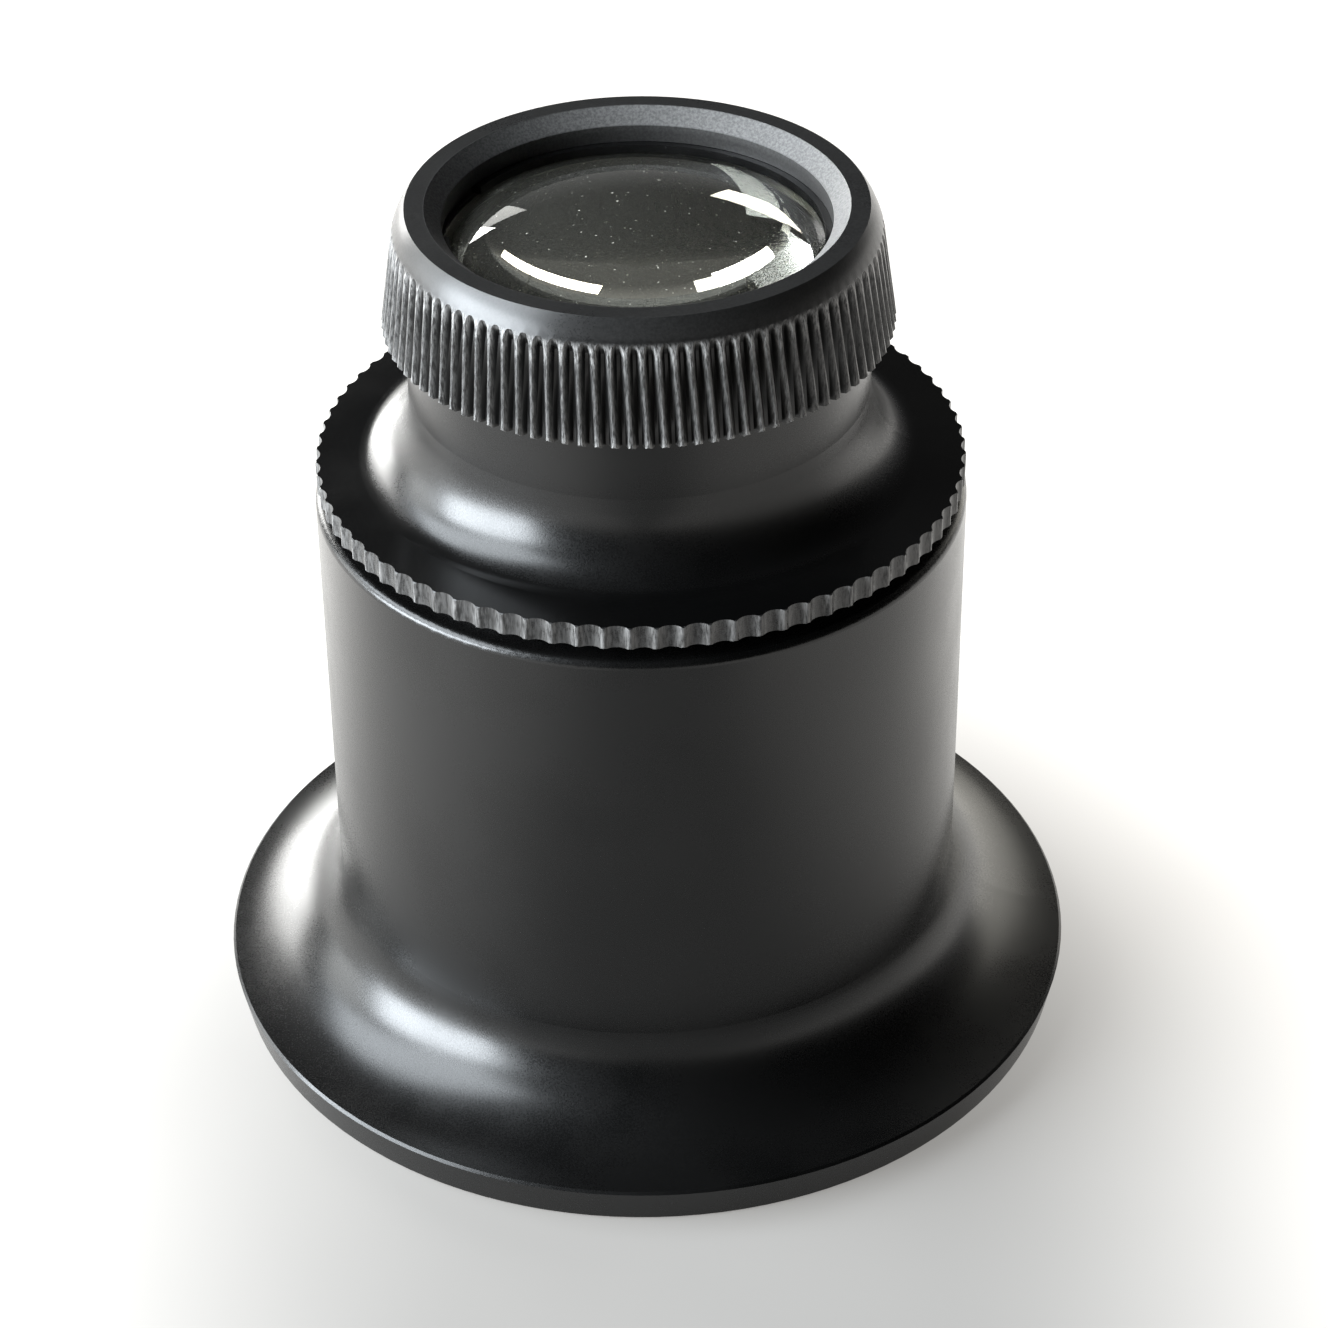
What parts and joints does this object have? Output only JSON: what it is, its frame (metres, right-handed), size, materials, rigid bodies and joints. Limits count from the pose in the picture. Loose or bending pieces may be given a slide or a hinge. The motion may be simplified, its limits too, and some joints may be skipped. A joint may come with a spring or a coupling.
{
  "type": "watchmaker_loupe",
  "caption": "Watchmaker's eye loupe in satin black plastic: flared eyecup, lens barrel with fluted grip disc, knurled cap and glass lenses.",
  "frame": {"origin": "centre of the eyecup's rim, on the plane the loupe stands on", "axes": "+Z is the optical axis, from the eye to the work; X and Y are arbitrary directions across it"},
  "size_m": [0.042, 0.042, 0.0422],
  "materials": {
    "eyecup_plastic": "satin moulded, fine grain",
    "barrel_plastic": "satin moulded, fine grain",
    "cap_plastic": "satin moulded, fine grain",
    "lens_glass": "polished",
    "ring_finish": "glossy black",
    "stop_finish": "dull black"
  },
  "bodies": {
    "eyecup": {"eyecup": "eyecup_plastic"},
    "barrel_lift": {"eye_lens": "lens_glass"},
    "barrel": {"lens_barrel": "barrel_plastic", "eye_lens_ring": "stop_finish", "glare_stop": "stop_finish"},
    "cap_lift": {"objective_lens": "lens_glass"},
    "cap": {"knurled_cap": "cap_plastic", "objective_snap_ring": "ring_finish"}
  },
  "joints": [
    {"name": "barrel_rise", "type": "slide", "parent": "eyecup", "child": "barrel_lift", "axis": [0, 0, 1], "range_m": [0, 0.0042]},
    {"name": "barrel_turn", "type": "hinge", "parent": "barrel_lift", "child": "barrel", "pos_m": [0, 0, 0.025], "axis": [0, 0, 1], "range_deg": [0, 1512]},
    {"name": "cap_rise", "type": "slide", "parent": "barrel", "child": "cap_lift", "axis": [0, 0, 1], "range_m": [0, 0.0015]},
    {"name": "cap_turn", "type": "hinge", "parent": "cap_lift", "child": "cap", "pos_m": [0, 0, 0.0375], "axis": [0, 0, 1], "range_deg": [0, 900]}
  ],
  "couplings": [
    {"joint": "barrel_turn", "follows": "barrel_rise", "rad_per_m": 6283.2},
    {"joint": "cap_turn", "follows": "cap_rise", "rad_per_m": 10472}
  ]
}
